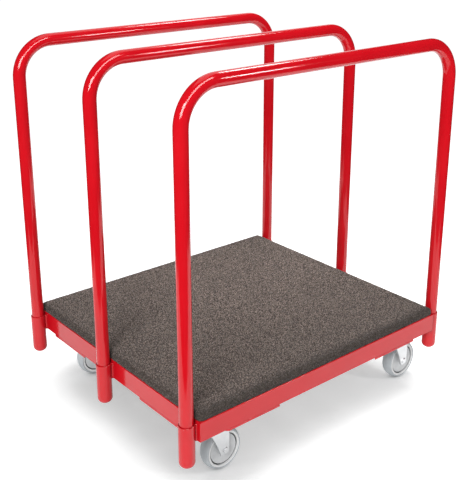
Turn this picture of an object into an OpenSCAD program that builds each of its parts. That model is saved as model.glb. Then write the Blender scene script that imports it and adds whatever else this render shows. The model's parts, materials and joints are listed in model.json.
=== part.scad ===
// Drywall cart: a carpeted deck on a welded channel frame, three lift-out tube rails
// that stand in sockets on the end faces, and four swivel casters that trail towards +X.
// The origin is on the floor under the middle of the cart. X runs along the rails,
// front is -Y and left is -X. All sizes are in millimetres.

/* [Frame] */
// Length of the frame, along the rails
frame_len = 950; // [760:5:1300]
// Width of the frame, across the rails
frame_wid = 854; // [700:2:1200]
// Height of the channel section
frame_h = 58; // [45:1:80]
// Width of the channel's flanges
flange_w = 30; // [24:1:33]
// Thickness of the channel's steel
channel_t = 4; // [2.5:0.5:6]
// Radius of the channel's outer edges
channel_edge_r = 1.5; // [0.5:0.5:3]
// Radius of the fillets inside the channel
channel_root_r = 4; // [1:0.5:6]
// Distance from the middle of the cart to each cross channel's web
cross_offset = 150; // [60:5:180]

/* [Corner gussets] */
// Width of each diagonal plate
gusset_w = 129; // [110:1:150]
// Thickness of each plate
gusset_t = 6; // [4:0.5:10]

/* [Deck] */
// Thickness of the deck board
board_t = 18; // [12:1:25]
// Thickness of the carpet
carpet_t = 5; // [3:0.5:8]
// Width of the frame's ledge left bare round the carpet
deck_inset = 2.5; // [2:0.5:10]
// Radius of the carpet's upright corners
carpet_corner_r = 14; // [10:1:30]
// Radius of the carpet's fold over the board's edge
carpet_fold_r = 8; // [4:0.5:9]

/* [Deck screws] */
// Screws along each side rail
screws_per_rail = 4; // [2:1:6]
// Diameter of a screw's shank
screw_d = 5; // [4:0.5:6]
// Diameter of a screw's washer head
screw_head_d = 11; // [9:0.5:13]
// Height of a screw's washer head
screw_head_h = 3; // [2:0.5:5]
// Wood left over a screw's tip
screw_cover = 6; // [4:0.5:8]
// Distance from the frame's end to the first screw
screw_end = 110; // [70:5:200]

/* [Rails] */
// Outer diameter of the tube
tube_d = 38.1; // [30:0.1:45]
// Wall of the tube
tube_wall = 2.1; // [1.5:0.1:4]
// Height of the top bar's centreline over the sockets' rims
rail_h = 878; // [500:1:1200]
// Centreline radius of the bends
bend_r = 105; // [60:1:160]

/* [Sockets] */
// Radial gap between a post and its socket
socket_gap = 1; // [0.4:0.1:2]
// Wall of a socket
socket_wall = 2.2; // [1.5:0.1:4]
// Overall length of a socket
socket_len = 128; // [90:1:180]
// Distance from the frame's top down to the sockets' rims
socket_drop = 7; // [3:0.5:15]
// Distance from the frame's side to the outer sockets' axes
socket_inset = 28; // [26:0.5:60]
// Chamfer round a socket's rim
socket_chamfer = 0.8; // [0.3:0.1:1.2]
// Extra radius of the domed bottom's nose over the socket's radius
dome_nose_extra = 3; // [1:0.5:10]
// Distance from a socket's axis to the middle of the dome's shoulder arc
dome_shoulder_x = 5; // [2:0.5:10]
// Gap at the root of the socket welds
weld_gap = 0.3; // [0.1:0.1:0.6]
// Distance from a socket's axis plane to the outer toe of its weld
weld_reach = 16; // [13:0.5:20]

/* [Caster mounting] */
// Height of a caster from the floor to its top plate's upper face
caster_h = 180; // [172:1:220]
// Distance from the frame's faces to a caster's swivel axis
caster_inset = 93.5; // [88:0.5:120]
// Side of the square top plate
plate_w = 100; // [92:1:108]
// Thickness of the top plate
plate_t = 5; // [4:0.5:8]
// Corner radius of the top plate
plate_corner_r = 11; // [5:0.5:12]
// Side of the square of bolt holes
bolt_square = 74; // [68:0.5:78]
// Diameter of the mounting bolts
bolt_d = 8; // [6:0.5:10]
// Width across flats of the bolts' heads and nuts
bolt_flats = 13; // [10:0.5:14]
// Height of the bolts' heads
bolt_head_h = 5.3; // [4:0.1:7]
// Height of the nuts
nut_h = 6.5; // [5:0.1:9]

/* [Caster swivel] */
// Distance that the axle trails behind the swivel axis
swivel_lead = 47; // [36:1:52]
// Diameter of the swivel balls
ball_d = 8; // [6:0.5:9]
// Swivel balls in a race
ball_count = 16; // [10:1:16]
// Radius of the circle of balls
ball_circle_r = 24; // [23:0.5:26]
// Height of each race ring
race_h = 5; // [4.5:0.5:8]
// Width of each race ring
race_w = 14; // [12:0.5:16]
// Gap between the two race rings
race_split = 1; // [0.6:0.1:2]
// Diameter of the kingpin
kingpin_d = 13; // [10:0.5:16]
// Diameter of the kingpin's two heads
kingpin_head_d = 21; // [18:0.5:26]
// Height of the kingpin's lower head
kingpin_head_h = 4; // [3:0.5:6]

/* [Caster fork] */
// Thickness of the fork's steel
fork_t = 4; // [3:0.5:5]
// Outer radius of the bends from the crown to the legs
fork_bend_r = 9; // [6:0.5:12]
// Radius of the crown
crown_r = 33; // [32:0.5:38]
// Height of the crown's raised seat over the legs' sheet
crown_step = 1; // [0.5:0.5:1.5]
// Distance from the axle forwards to the end of a leg's leading edge
leg_front = 18; // [14:0.5:22]
// Distance from the axle back to a leg's trailing edge
leg_back = 13; // [11:0.5:20]
// Distance from the axle down to a leg's end
leg_end_drop = 13.5; // [11:0.5:20]
// Radius of the two corners of a leg's end
leg_corner_r = 8; // [4:0.5:10]
// Depth below the crown at which the leading edge turns down
leg_turn = 22; // [12:1:30]
// Depth below the crown of the straight stretch of the trailing edge
leg_back_drop = 48; // [30:1:60]
// Gap between a leg and the tread
leg_gap = 3; // [2:0.5:6]
// Width of the leading edge's lip at the crown
lip_top_w = 10; // [6:0.5:12]
// Width of the leading edge's lip at the leg's end
lip_end_w = 5; // [3:0.5:6]
// Thickness of the lip along the leading edge
lip_t = 4; // [2:0.5:5]

/* [Caster wheel] */
// Diameter of the wheel over its tread
wheel_d = 127; // [110:1:136]
// Width of the tread
wheel_w = 36; // [30:1:40]
// Depth of rubber on the core
tread_depth = 9; // [6:0.5:14]
// Radius of the tread's crown across its width
tread_crown_r = 30; // [24:1:60]
// Width of the bright ring at the core's rim
rim_ring_w = 6; // [3:0.5:8]
// Width of the groove inside the ring
rim_groove_w = 4; // [2:0.5:5]
// Depth of the groove inside the ring
rim_groove_h = 5; // [2:0.5:6]
// Distance that the dish sits below the ring
dish_depth = 3; // [1:0.5:5]
// Distance that the ring sits inside the tread's side
rim_inset = 1; // [0.5:0.5:3]
// Outer radius of the core's barrel
barrel_r = 15; // [12:0.5:20]
// Outer diameter of the bushing
bushing_d = 17; // [14:0.5:20]
// Diameter of the axle bolt
axle_d = 10; // [8:0.5:12]
// Width across flats of the axle's head and nut
axle_flats = 15; // [13:0.5:18]
// Height of the axle's head
axle_head_h = 3; // [2:0.5:8]
// Height of the axle's nut
axle_nut_h = 6; // [5:0.5:9]

/* [Hidden] */
$fn = 72;

// Small clearances
seat_gap = 0.2;
ball_gap = 0.15;
pin_gap = 0.06;
hole_gap = 0.5;
thread_gap = 0.05;
thrust_gap = 0.4;
bolt_tail = 3;
hex_sides = 6;
through = 1;
edge_steps = 10;

// Heights of the frame and the deck
frame_z0 = caster_h + gusset_t;
frame_z1 = frame_z0 + frame_h;
board_z1 = frame_z1 + board_t;
deck_z = board_z1 + carpet_t;

// Sockets and rails
post_r = tube_d / 2;
socket_bore_r = post_r + socket_gap;
socket_r = socket_bore_r + socket_wall;
socket_z1 = frame_z1 - socket_drop;
socket_z0 = socket_z1 - socket_len;
socket_x = frame_len / 2 + weld_gap + socket_r;
socket_y = frame_wid / 2 - socket_inset;
dome_nose_r = socket_r + dome_nose_extra;
dome_shoulder_r = socket_r - dome_shoulder_x;
dome_angle = asin(dome_shoulder_x / (dome_nose_r - dome_shoulder_r));
dome_h = dome_nose_r - (dome_nose_r - dome_shoulder_r) * cos(dome_angle);
post_z0 = socket_z0 + dome_h + seat_gap;
rail_z = socket_z1 + rail_h;
weld_root = 5;
weld_top = 12;
weld_rise = 6;

// Deck and its screws
carpet_len = frame_len - 2 * deck_inset;
carpet_wid = frame_wid - 2 * deck_inset;
board_len = carpet_len - 2 * carpet_t;
board_wid = carpet_wid - 2 * carpet_t;
board_corner_r = carpet_corner_r - carpet_t;
screw_len = channel_t + board_t - screw_cover;
screw_y = frame_wid / 2 - (channel_t + channel_root_r + flange_w) / 2;
screw_span = frame_len - 2 * screw_end;
screw_spots = [
    for (i = [0 : screws_per_rail - 1])
        for (side = [-1, 1])
            [i * screw_span / (screws_per_rail - 1) - screw_span / 2, side * screw_y]
];

// Corner gussets, measured along the frame's faces from each corner
gusset_half = gusset_w * sqrt(2) / 2;
gusset_near = 2 * caster_inset - gusset_half;
gusset_far = 2 * caster_inset + gusset_half;

// Heights in a caster, from the floor
plate_z0 = caster_h - plate_t;
ball_z = plate_z0 - race_h - race_split / 2;
crown_z1 = ball_z - race_split / 2 - race_h;
crown_z0 = crown_z1 - fork_t;
axle_z = wheel_d / 2;

// Caster plan: the square top plate and its bolts stand on the diagonal
plate_turn = 45;
bolt_spots = [
    for (i = [-1, 1])
        for (j = [-1, 1])
            [i * bolt_square / 2, j * bolt_square / 2]
];
race_in_r = ball_circle_r - race_w / 2;
race_out_r = ball_circle_r + race_w / 2;
kingpin_r = kingpin_d / 2;
kingpin_head_r = kingpin_head_d / 2;
countersink_h = kingpin_head_r - kingpin_r;

// Fork legs, seen from the side
leg_in = wheel_w / 2 + leg_gap;
leg_out = leg_in + fork_t;
leg_back_x = swivel_lead + leg_back;
leg_foot = axle_z - leg_end_drop;
axle_spot = [swivel_lead, axle_z];
lead_start = [-crown_r + lip_t, crown_z0];
lead_turn = [0, crown_z0 - leg_turn];
front_corner = [swivel_lead - leg_front + leg_corner_r, leg_foot + leg_corner_r];
back_corner = [leg_back_x - leg_corner_r, leg_foot + leg_corner_r];
lead_end = tangent_spot(lead_turn, front_corner, leg_corner_r);
back_start = [leg_back_x, crown_z0 - leg_back_drop];
back_turn = [leg_back_x, crown_z0];
back_end = [crown_r - lip_t, crown_z0];
leading_edge = curve(lead_start, lead_turn, lead_end);
trailing_edge = curve(back_start, back_turn, back_end);
lead_normal = lead_end - front_corner;
lead_angle = atan2(lead_normal[1], lead_normal[0]) + 360;
leg_end = concat(
    arc(front_corner, leg_corner_r, lead_angle, 270),
    [back_corner - [0, leg_corner_r]],
    arc(back_corner, leg_corner_r, 270, 360)
);
lip_first = 2;
lip_edge = [for (i = [lip_first : edge_steps]) leading_edge[i]];

// Wheel core, from its axis outwards
rim_r = wheel_d / 2 - tread_depth;
ring_in_r = rim_r - rim_ring_w;
dish_out_r = ring_in_r - rim_groove_w;
ring_y = wheel_w / 2 - rim_inset;
dish_y = ring_y - dish_depth;
groove_y = dish_y - rim_groove_h;
barrel_y = leg_in - 2 * thrust_gap;
bushing_len = 2 * (leg_in - thrust_gap);

// Colours
red_paint = [0.82, 0.06, 0.10];
carpet_brown = [0.36, 0.33, 0.30];
plywood = [0.74, 0.60, 0.42];
zinc = [0.80, 0.81, 0.82];
dark_steel = [0.45, 0.46, 0.48];
rubber_grey = [0.52, 0.54, 0.56];
core_grey = [0.76, 0.77, 0.78];
bronze = [0.62, 0.48, 0.28];

// Corners of the cart: name, X sign, Y sign
CORNERS = [
    ["front_left", -1, -1],
    ["front_right", 1, -1],
    ["back_left", -1, 1],
    ["back_right", 1, 1]
];

// Rails from front to back: name, Y sign
RAILS = [["front", -1], ["middle", 0], ["back", 1]];

// Ends of the frame: name, X sign
ENDS = [["left", -1], ["right", 1]];

CASTER_PIECES = [
    "caster_plate", "kingpin", "swivel_balls", "fork", "axle", "wheel_bushing", "wheel_core", "tread"
];

// Point where a line from a point touches a circle on the circle's lower left side
function tangent_spot(from, centre, r) =
    let (
        away = from - centre,
        swing = atan2(away[1], away[0]) + acos(r / norm(away))
    )
    centre + r * [cos(swing), sin(swing)];

// Points on a smooth curve that leaves the first point towards the second and ends at the third
function curve(first, pull, last) = [
    for (i = [0 : edge_steps])
        let (t = i / edge_steps)
        first * (1 - t) * (1 - t) + pull * 2 * t * (1 - t) + last * t * t
];

// Points on an arc between two angles, without its first point
function arc(centre, r, from, to) = [
    for (i = [1 : edge_steps])
        let (a = from + (to - from) * i / edge_steps)
        centre + r * [cos(a), sin(a)]
];

function backwards(points) = [for (i = [len(points) - 1 : -1 : 0]) points[i]];

function shifted(points, step) = [for (p = points) p + step];

// Channel section: web at x = 0, open towards +x, standing on y = 0
module channel_section() {
    difference() {
        rounded_back(0, frame_h, channel_edge_r);
        rounded_back(channel_t, frame_h - channel_t, channel_root_r);
    }
}

// Strip from x = inset to the flange tips and beyond, with its two left corners rounded
module rounded_back(inset, top, r) {
    reach = flange_w - inset + (inset > 0 ? through : 0);
    bottom = frame_h - top;
    translate([inset + r, bottom])
        square([reach - r, top - bottom]);
    translate([inset, bottom + r])
        square([reach, top - bottom - 2 * r]);
    translate([inset + r, bottom + r])
        circle(r);
    translate([inset + r, top - r])
        circle(r);
}

// Channel along X, its web's outer face on y = 0 and its flanges towards +y
module channel(length) {
    translate([-length / 2, 0, 0])
        rotate([90, 0, 90])
            linear_extrude(length)
                channel_section();
}

// Channel with both ends cut at 45 degrees
module mitred_channel(length) {
    intersection() {
        channel(length);
        translate([0, 0, -through])
            linear_extrude(frame_h + 2 * through)
                polygon([
                    [-length / 2, 0],
                    [length / 2, 0],
                    [length / 2 - flange_w, flange_w],
                    [-length / 2 + flange_w, flange_w]
                ]);
    }
}

module side_rail(side) {
    color(red_paint)
        difference() {
            rotate([0, 0, side < 0 ? 0 : 180])
                translate([0, -frame_wid / 2, frame_z0])
                    mitred_channel(frame_len);
            for (spot = screw_spots)
                translate([spot[0], spot[1], frame_z1 - channel_t - through])
                    cylinder(d = screw_d + hole_gap, h = channel_t + 2 * through);
        }
}

module side_rail_front() {
    side_rail(-1);
}

module side_rail_back() {
    side_rail(1);
}

module end_rail(end) {
    color(red_paint)
        rotate([0, 0, 90 * end])
            translate([0, -frame_len / 2, frame_z0])
                mitred_channel(frame_wid);
}

// Cross channel between the side rails' flange tips, its web facing the middle of the cart
module cross_channel(end) {
    color(red_paint)
        rotate([0, 0, -90 * end])
            translate([0, cross_offset, frame_z0])
                channel(frame_wid - 2 * flange_w);
}

// Diagonal plate under a corner, drilled for its caster
module gusset(x_sign, y_sign) {
    color(red_paint)
        difference() {
            translate([x_sign * frame_len / 2, y_sign * frame_wid / 2, caster_h])
                linear_extrude(gusset_t)
                    polygon([
                        [-x_sign * gusset_near, 0],
                        [-x_sign * gusset_far, 0],
                        [0, -y_sign * gusset_far],
                        [0, -y_sign * gusset_near]
                    ]);
            at_caster(x_sign, y_sign)
                bolt_holes(caster_h, gusset_t);
        }
}

// Half section of a socket: a tube with a closed, domed bottom on y = 0
module socket_section() {
    nose = dome_nose_r;
    difference() {
        union() {
            polygon([
                [0, dome_h],
                [socket_r, dome_h],
                [socket_r, socket_len - socket_chamfer],
                [socket_r - socket_chamfer, socket_len],
                [0, socket_len]
            ]);
            translate([dome_shoulder_x, dome_h])
                circle(dome_shoulder_r);
            intersection() {
                translate([0, nose])
                    circle(nose);
                polygon([[0, nose], [nose * tan(dome_angle), 0], [0, 0]]);
            }
        }
        translate([0, dome_h])
            square([socket_bore_r, socket_len]);
        translate([-socket_len, 0])
            square([socket_len, socket_len]);
    }
}

module socket(x_sign, y_sign) {
    color(red_paint)
        translate([x_sign * socket_x, y_sign * socket_y, socket_z0])
            rotate_extrude()
                socket_section();
}

// Two fillets between each socket and the end rail's face
module socket_welds() {
    color(red_paint)
        for (x_sign = [-1, 1], y_sign = [-1, 0, 1], side = [-1, 1])
            translate([x_sign * frame_len / 2, y_sign * socket_y, frame_z0 + weld_gap])
                linear_extrude(frame_h - socket_drop - socket_chamfer - 2 * weld_gap)
                    difference() {
                        polygon([
                            [0, side * weld_root],
                            [0, side * weld_reach],
                            [x_sign * weld_rise, side * weld_top],
                            [x_sign * weld_rise, side * weld_root]
                        ]);
                        translate([x_sign * (weld_gap + socket_r), 0])
                            circle(socket_r);
                    }
}

module rounded_slab(length, width, height, r) {
    linear_extrude(height) {
        square([length - 2 * r, width], center = true);
        square([length, width - 2 * r], center = true);
        for (x_sign = [-1, 1], y_sign = [-1, 1])
            translate([x_sign * (length / 2 - r), y_sign * (width / 2 - r)])
                circle(r);
    }
}

// Outline of a slab of a given width whose two upper corners are rounded
module folded_outline(width, height, r) {
    translate([-width / 2, 0])
        square([width, height - r]);
    translate([-width / 2 + r, 0])
        square([width - 2 * r, height]);
    for (side = [-1, 1])
        translate([side * (width / 2 - r), height - r])
            circle(r);
}

module deck_board() {
    color(plywood)
        difference() {
            translate([0, 0, frame_z1])
                rounded_slab(board_len, board_wid, board_t, board_corner_r);
            for (spot = screw_spots)
                translate([spot[0], spot[1], frame_z1 - through])
                    cylinder(d = screw_d + 2 * thread_gap, h = screw_len - channel_t + seat_gap + through);
        }
}

// Carpet stretched over the board's top and down its four edges
module deck_carpet() {
    height = deck_z - frame_z1;
    color(carpet_brown)
        translate([0, 0, frame_z1])
            difference() {
                intersection() {
                    rounded_slab(carpet_len, carpet_wid, height, carpet_corner_r);
                    rotate([90, 0, 0])
                        linear_extrude(carpet_wid, center = true)
                            folded_outline(carpet_len, height, carpet_fold_r);
                    rotate([90, 0, 90])
                        linear_extrude(carpet_len, center = true)
                            folded_outline(carpet_wid, height, carpet_fold_r);
                }
                translate([0, 0, -through])
                    rounded_slab(board_len, board_wid, board_t + through, board_corner_r);
            }
}

module deck_screws() {
    color(zinc)
        for (spot = screw_spots)
            translate([spot[0], spot[1], frame_z1 - channel_t]) {
                cylinder(d = screw_d, h = screw_len);
                translate([0, 0, -screw_head_h])
                    cylinder(d = screw_head_d, h = screw_head_h);
            }
}

// Path of a rail as a solid bar of radius r; its feet start at height z
module rail_bar(r, z) {
    straight = 2 * (socket_x - bend_r);
    for (side = [-1, 1]) {
        translate([side * socket_x, 0, z])
            cylinder(r = r, h = rail_z - bend_r - z);
        translate([side * (socket_x - bend_r), 0, rail_z - bend_r])
            rotate([90, 0, 0])
                rotate([0, 0, side > 0 ? 0 : 90])
                    rotate_extrude(angle = 90)
                        translate([bend_r, 0])
                            circle(r);
    }
    translate([-straight / 2, 0, rail_z])
        rotate([0, 90, 0])
            cylinder(r = r, h = straight);
}

module rail(y_sign) {
    color(red_paint)
        translate([0, y_sign * socket_y, 0])
            difference() {
                rail_bar(post_r, post_z0);
                rail_bar(post_r - tube_wall, post_z0 - through);
            }
}

// Moves a caster piece from its own swivel axis to a corner of the cart
module at_caster(x_sign, y_sign) {
    translate([x_sign * (frame_len / 2 - caster_inset), y_sign * (frame_wid / 2 - caster_inset), 0])
        children();
}

module bolt_holes(z, height) {
    rotate([0, 0, plate_turn])
        for (spot = bolt_spots)
            translate([spot[0], spot[1], z - through])
                cylinder(d = bolt_d + 2 * hole_gap, h = height + 2 * through);
}

module hex_bar(flats, height) {
    cylinder(d = flats / cos(180 / hex_sides), h = height, $fn = hex_sides);
}

// Ring of balls' path, a little larger than the balls
module ball_groove() {
    rotate_extrude()
        translate([ball_circle_r, ball_z])
            circle(ball_d / 2 + ball_gap);
}

module race_ring(z, height) {
    difference() {
        translate([0, 0, z])
            cylinder(r = race_out_r, h = height);
        translate([0, 0, z - through])
            cylinder(r = race_in_r, h = height + 2 * through);
        ball_groove();
    }
}

module caster_plate() {
    color(zinc) {
        difference() {
            translate([0, 0, plate_z0])
                rotate([0, 0, plate_turn])
                    rounded_slab(plate_w, plate_w, plate_t, plate_corner_r);
            bolt_holes(plate_z0, plate_t);
            translate([0, 0, plate_z0 - through])
                cylinder(r = kingpin_r, h = plate_t + 2 * through);
            translate([0, 0, caster_h - countersink_h])
                cylinder(r1 = kingpin_r, r2 = kingpin_head_r, h = countersink_h);
        }
        race_ring(plate_z0 - race_h, race_h);
    }
}

// Rivet with a countersunk upper head and a flat lower head under the crown
module kingpin() {
    foot_z = crown_z0 - thrust_gap - kingpin_head_h;
    color(dark_steel) {
        translate([0, 0, foot_z])
            cylinder(r = kingpin_r, h = caster_h - foot_z);
        translate([0, 0, caster_h - countersink_h])
            cylinder(r1 = kingpin_r, r2 = kingpin_head_r, h = countersink_h);
        translate([0, 0, foot_z])
            cylinder(r = kingpin_head_r, h = kingpin_head_h);
    }
}

module swivel_balls() {
    color(dark_steel)
        for (i = [0 : ball_count - 1])
            rotate([0, 0, i * 360 / ball_count])
                translate([ball_circle_r, 0, ball_z])
                    sphere(d = ball_d);
}

// Fork's bent sheet seen along X: a crown with two legs
module fork_section() {
    difference() {
        translate([0, leg_foot])
            folded_outline(2 * leg_out, crown_z1 - leg_foot, fork_bend_r);
        translate([0, leg_foot - through])
            folded_outline(2 * leg_in, crown_z0 - leg_foot + through, fork_bend_r - fork_t);
    }
}

// Legs seen along Y: raked leading edge, upright trailing edge, blunt end under the axle
module fork_outline() {
    polygon(concat(
        [[lead_start[0], crown_z1 + through]],
        leading_edge,
        leg_end,
        trailing_edge,
        [[back_end[0], crown_z1 + through]]
    ));
}

// Bar of a section through the fork, drawn in X and Z, from side to side
module along_y() {
    reach = leg_out + lip_top_w + through;
    rotate([90, 0, 0])
        linear_extrude(2 * reach, center = true)
            children();
}

// Bar of a section through the fork, drawn in Y and Z, from the crown's front to the legs' back
module along_x() {
    translate([-crown_r, 0, 0])
        rotate([90, 0, 90])
            linear_extrude(crown_r + leg_back_x + through)
                children();
}

// Outward lip of the leg on one side seen along X, wider towards the crown
module lip_section(side) {
    root = leg_in + fork_t / 2;
    polygon([
        [side * root, leg_foot],
        [side * (leg_out + lip_end_w), leg_foot],
        [side * (leg_out + lip_top_w), crown_z0],
        [side * root, crown_z0]
    ]);
}

module fork() {
    half_lip = [lip_t / 2, 0];
    lip = concat(shifted(lip_edge, -half_lip), backwards(shifted(lip_edge, half_lip)));
    color(zinc)
        difference() {
            union() {
                intersection() {
                    along_x()
                        fork_section();
                    along_y()
                        fork_outline();
                }
                translate([0, 0, crown_z0 + crown_step])
                    cylinder(r = crown_r, h = fork_t);
                race_ring(crown_z1 + crown_step / 2, race_h - crown_step / 2);
                for (side = [-1, 1])
                    intersection() {
                        along_x()
                            lip_section(side);
                        along_y()
                            polygon(lip);
                    }
            }
            translate([0, 0, crown_z0 - through])
                cylinder(r = kingpin_r + pin_gap, h = fork_t + crown_step + 2 * through);
            along_y()
                translate(axle_spot)
                    circle(axle_d / 2 + thread_gap);
        }
}

// Bolt through both legs with its nut
module axle() {
    color(dark_steel)
        translate([swivel_lead, 0, axle_z])
            rotate([90, 0, 0]) {
                translate([0, 0, -leg_out - axle_nut_h - bolt_tail])
                    cylinder(d = axle_d, h = 2 * leg_out + axle_nut_h + bolt_tail);
                translate([0, 0, leg_out])
                    hex_bar(axle_flats, axle_head_h);
                difference() {
                    translate([0, 0, -leg_out - axle_nut_h])
                        hex_bar(axle_flats, axle_nut_h);
                    translate([0, 0, -leg_out - axle_nut_h - through])
                        cylinder(d = axle_d + 2 * thread_gap, h = axle_nut_h + through);
                }
            }
}

// Turns a half section about the wheel's axle
module wheel_turned() {
    translate([swivel_lead, 0, axle_z])
        rotate([90, 0, 0])
            rotate_extrude()
                children();
}

module wheel_bushing() {
    color(bronze)
        wheel_turned()
            translate([axle_d / 2 + pin_gap, -bushing_len / 2])
                square([bushing_d / 2 - axle_d / 2 - pin_gap, bushing_len]);
}

// Core from the bushing out to the rim: barrel, dish, groove and ring, alike on both sides
module wheel_core() {
    half = [
        [bushing_d / 2, barrel_y],
        [barrel_r, barrel_y],
        [barrel_r, dish_y],
        [dish_out_r, dish_y],
        [dish_out_r, groove_y],
        [ring_in_r, groove_y],
        [ring_in_r, ring_y],
        [rim_r, ring_y]
    ];
    color(core_grey)
        wheel_turned()
            polygon(concat(half, backwards([for (p = half) [p[0], -p[1]]])));
}

module tread() {
    color(rubber_grey)
        wheel_turned()
            intersection() {
                translate([rim_r, -wheel_w / 2])
                    square([tread_depth, wheel_w]);
                translate([wheel_d / 2 - tread_crown_r, 0])
                    circle(tread_crown_r);
            }
}

module caster_bolts() {
    tail_z = caster_h + gusset_t + nut_h + bolt_tail;
    color(zinc)
        for (c = CORNERS)
            at_caster(c[1], c[2])
                rotate([0, 0, plate_turn])
                    for (spot = bolt_spots)
                        translate([spot[0], spot[1], plate_z0 - bolt_head_h]) {
                            hex_bar(bolt_flats, bolt_head_h);
                            cylinder(d = bolt_d, h = tail_z - plate_z0 + bolt_head_h);
                        }
}

module caster_nuts() {
    color(zinc)
        for (c = CORNERS)
            at_caster(c[1], c[2])
                rotate([0, 0, plate_turn])
                    for (spot = bolt_spots)
                        translate([spot[0], spot[1], frame_z0])
                            difference() {
                                hex_bar(bolt_flats, nut_h);
                                translate([0, 0, -through])
                                    cylinder(d = bolt_d + 2 * thread_gap, h = nut_h + 2 * through);
                            }
}

module caster_piece(name) {
    if (name == "caster_plate") caster_plate();
    if (name == "kingpin") kingpin();
    if (name == "swivel_balls") swivel_balls();
    if (name == "fork") fork();
    if (name == "axle") axle();
    if (name == "wheel_bushing") wheel_bushing();
    if (name == "wheel_core") wheel_core();
    if (name == "tread") tread();
}

side_rail_front();
side_rail_back();
for (e = ENDS)
    end_rail(e[1]);
for (e = ENDS)
    cross_channel(e[1]);
for (c = CORNERS)
    gusset(c[1], c[2]);
for (r = RAILS, e = ENDS)
    socket(e[1], r[1]);
socket_welds();
deck_board();
deck_carpet();
deck_screws();
caster_bolts();
caster_nuts();
for (r = RAILS)
    rail(r[1]);
for (p = CASTER_PIECES, c = CORNERS)
    at_caster(c[1], c[2]) caster_piece(p);
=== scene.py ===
# %% [markdown]
# # Dressing a drywall cart
#
# The cart is a welded red frame with a carpeted deck, three lift-out tube rails and four
# swivel casters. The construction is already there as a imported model: every solid has its
# real size and its place. This lesson gives those solids their finishes, and makes the soft
# and small things that a solid can't show: the carpet's pile and the ripple of the welds.

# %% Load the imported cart
import json
import math

import bmesh
import bpy
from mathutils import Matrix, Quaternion, Vector

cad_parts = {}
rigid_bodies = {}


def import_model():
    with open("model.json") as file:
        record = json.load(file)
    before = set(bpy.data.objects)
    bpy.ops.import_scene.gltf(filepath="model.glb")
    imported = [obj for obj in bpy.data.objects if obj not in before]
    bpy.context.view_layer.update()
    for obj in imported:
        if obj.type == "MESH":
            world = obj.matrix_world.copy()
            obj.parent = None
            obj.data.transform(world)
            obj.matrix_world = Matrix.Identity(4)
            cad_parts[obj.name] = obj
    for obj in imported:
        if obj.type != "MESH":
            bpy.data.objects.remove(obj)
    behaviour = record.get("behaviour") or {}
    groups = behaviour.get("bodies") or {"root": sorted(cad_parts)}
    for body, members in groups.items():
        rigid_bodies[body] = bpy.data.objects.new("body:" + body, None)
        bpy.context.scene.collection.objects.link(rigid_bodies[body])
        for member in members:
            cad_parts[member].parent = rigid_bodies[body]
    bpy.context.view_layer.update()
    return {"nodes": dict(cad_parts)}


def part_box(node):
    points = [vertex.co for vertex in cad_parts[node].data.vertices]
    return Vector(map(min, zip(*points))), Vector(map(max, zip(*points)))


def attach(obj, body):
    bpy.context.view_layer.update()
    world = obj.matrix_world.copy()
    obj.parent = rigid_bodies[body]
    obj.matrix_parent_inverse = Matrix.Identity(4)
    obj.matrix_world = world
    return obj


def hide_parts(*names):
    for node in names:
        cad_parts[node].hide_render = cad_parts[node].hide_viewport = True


for leftover in list(bpy.data.objects):
    bpy.data.objects.remove(leftover)
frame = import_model()
NODES = frame["nodes"]

# %% [markdown]
# ## The camera
#
# The photograph was taken from the front left, from above the rails. A camera can be placed
# by eye until the picture looks alike, or worked out from the picture: the posts, rails and
# deck edges were measured there, and a camera was solved that puts the cart's own corners on
# them. The solved place and angles are written down here. The small shift keeps the posts
# nearly upright, as a view camera does.

# %% The photograph's camera
PHOTO_W, PHOTO_H = 467, 480  # pixels
FOCAL_LENGTH = 855  # pixels
OPTICAL_AXIS_RISE = 58  # pixels over the middle of the picture
SENSOR = 36.0  # millimetres
EYE = Vector((-1.614, -1.922, 1.500))  # metres
HEADING = math.radians(-39.9)
TILT = math.radians(18.0)

camera_data = bpy.data.cameras.new("photo_camera")
camera_data.sensor_width = SENSOR
camera_data.lens = FOCAL_LENGTH / max(PHOTO_W, PHOTO_H) * SENSOR
camera_data.shift_y = -OPTICAL_AXIS_RISE / max(PHOTO_W, PHOTO_H)
camera = bpy.data.objects.new("photo_camera", camera_data)
looking = Vector((
    -math.sin(HEADING) * math.cos(TILT),
    math.cos(HEADING) * math.cos(TILT),
    -math.sin(TILT),
))
camera.location = EYE
camera.rotation_euler = looking.to_track_quat("-Z", "Y").to_euler()
bpy.context.scene.collection.objects.link(camera)
bpy.context.scene.camera = camera
print("lens", round(camera_data.lens, 1), "mm, looking along", [round(v, 2) for v in looking])

# %% [markdown]
# ## Helpers for node trees
#
# Every finish below is a small tree of nodes. A few helpers keep the trees readable: they add
# a node and set its sockets by name, start a group or a material, place a group, mix two
# colours by a mask, and turn a mask into a range of values.


# %% Node helpers
def add(tree, kind, **settings):
    """A node of that kind. A setting names a property or, failing that, an input socket."""
    node = tree.nodes.new(kind)
    for name, value in settings.items():
        if hasattr(node, name):
            setattr(node, name, value)
        else:
            node.inputs[name.replace("_", " ").title()].default_value = value
    return node


def start_group(name, inputs, outputs):
    """An empty shader group with named float inputs and outputs of the kinds given."""
    tree = bpy.data.node_groups.new(name, "ShaderNodeTree")
    for label, value in inputs.items():
        socket = tree.interface.new_socket(label, in_out="INPUT", socket_type="NodeSocketFloat")
        socket.default_value = value
    for label, kind in outputs.items():
        tree.interface.new_socket(label, in_out="OUTPUT", socket_type="NodeSocket" + kind)
    return tree, tree.nodes.new("NodeGroupInput"), tree.nodes.new("NodeGroupOutput")


def use_group(tree, group, **values):
    """The group placed in a material, with its own values."""
    node = tree.nodes.new("ShaderNodeGroup")
    node.node_tree = group
    for name, value in values.items():
        node.inputs[name.replace("_", " ").title()].default_value = value
    return node


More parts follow.
